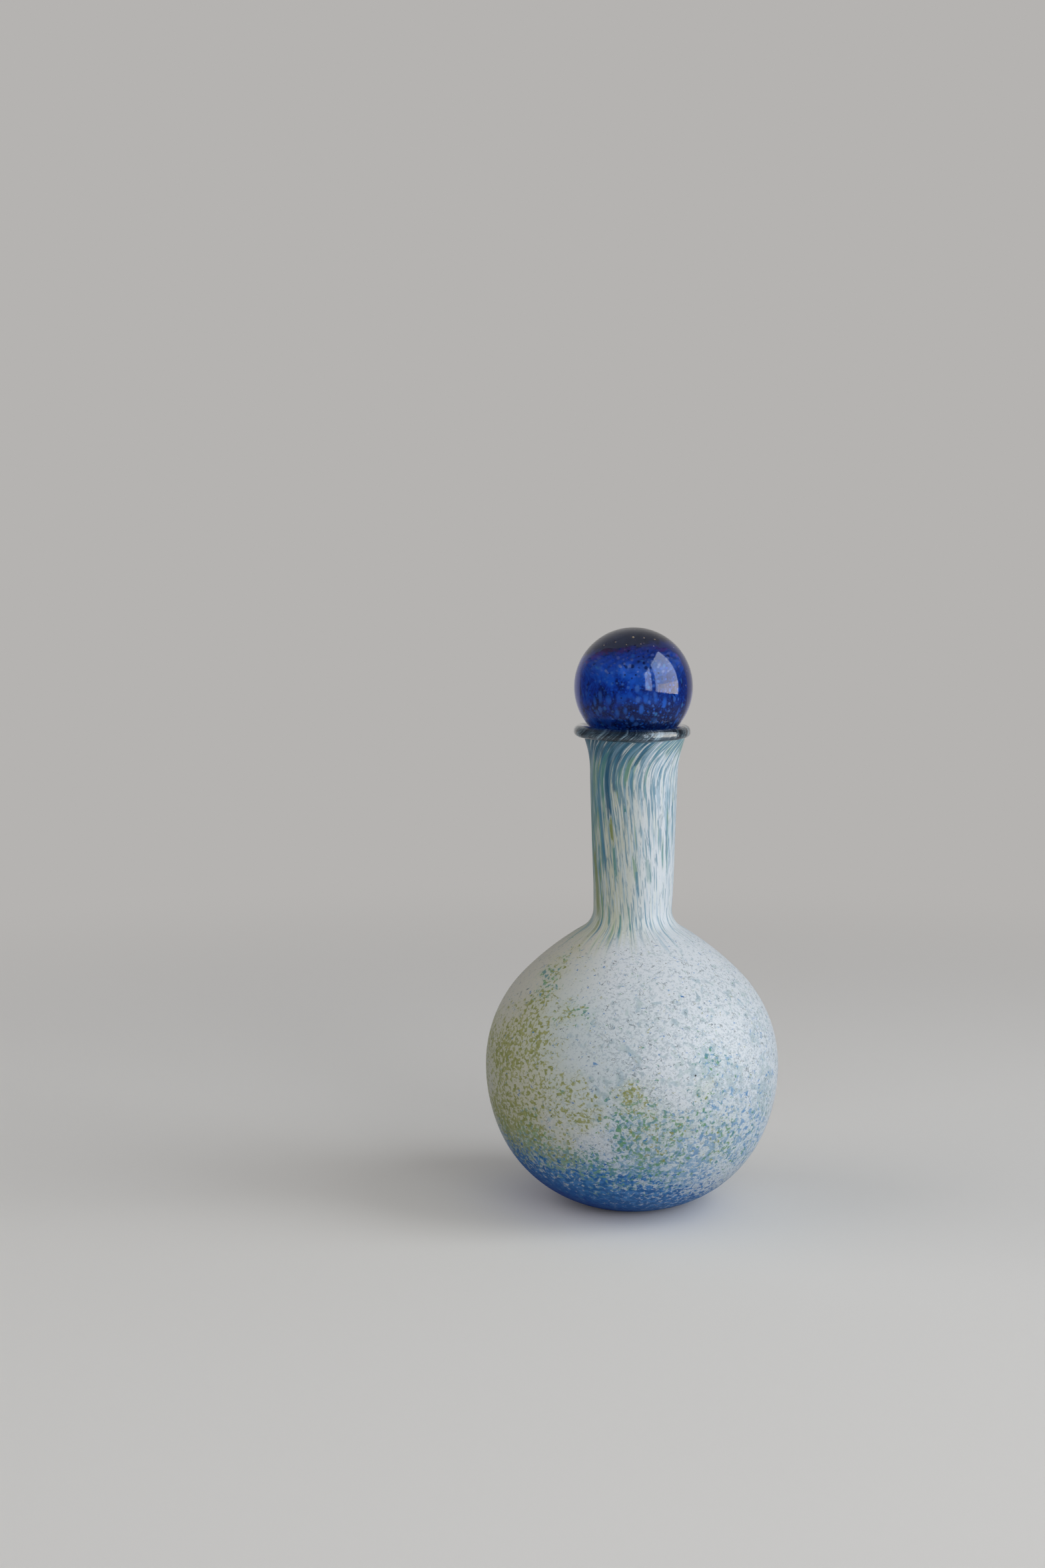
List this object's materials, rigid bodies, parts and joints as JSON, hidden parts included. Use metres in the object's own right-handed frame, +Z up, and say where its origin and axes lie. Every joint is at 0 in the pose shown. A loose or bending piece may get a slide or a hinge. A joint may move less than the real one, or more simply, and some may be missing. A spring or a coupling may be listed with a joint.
{
  "type": "bottle",
  "caption": "Blown cased-glass bottle with a round bowl, a long drawn neck and a wrapped lip, closed by a loose glass marble that rests in its mouth.",
  "frame": {"origin": "on the bottle's axis, in the plane that its foot rests on", "axes": "+Z up along the axis of the bottle; -Y is the side seen in the picture, with +X to its right"},
  "size_m": [0.075, 0.075, 0.1476],
  "materials": {
    "grained_casing_glass": "satin clear glass over coloured grains and white opal, so it reads as opaque",
    "opal_glass": "smooth opaque white",
    "lip_glass": "fire-polished, streaked",
    "clear_glass": "fire-polished",
    "cobalt_glass": "mottled opaque blue with seeds"
  },
  "bodies": {
    "bottle": {"outer_casing": "grained_casing_glass", "opal_liner": "opal_glass", "lip_wrap": "lip_glass"},
    "stopper": {"marble_casing": "clear_glass", "marble_core": "cobalt_glass"}
  },
  "joints": [
    {"name": "stopper_lift", "type": "slide", "parent": "bottle", "child": "stopper", "axis": [0, 0, 1], "range_m": [0, 0.05]}
  ]
}
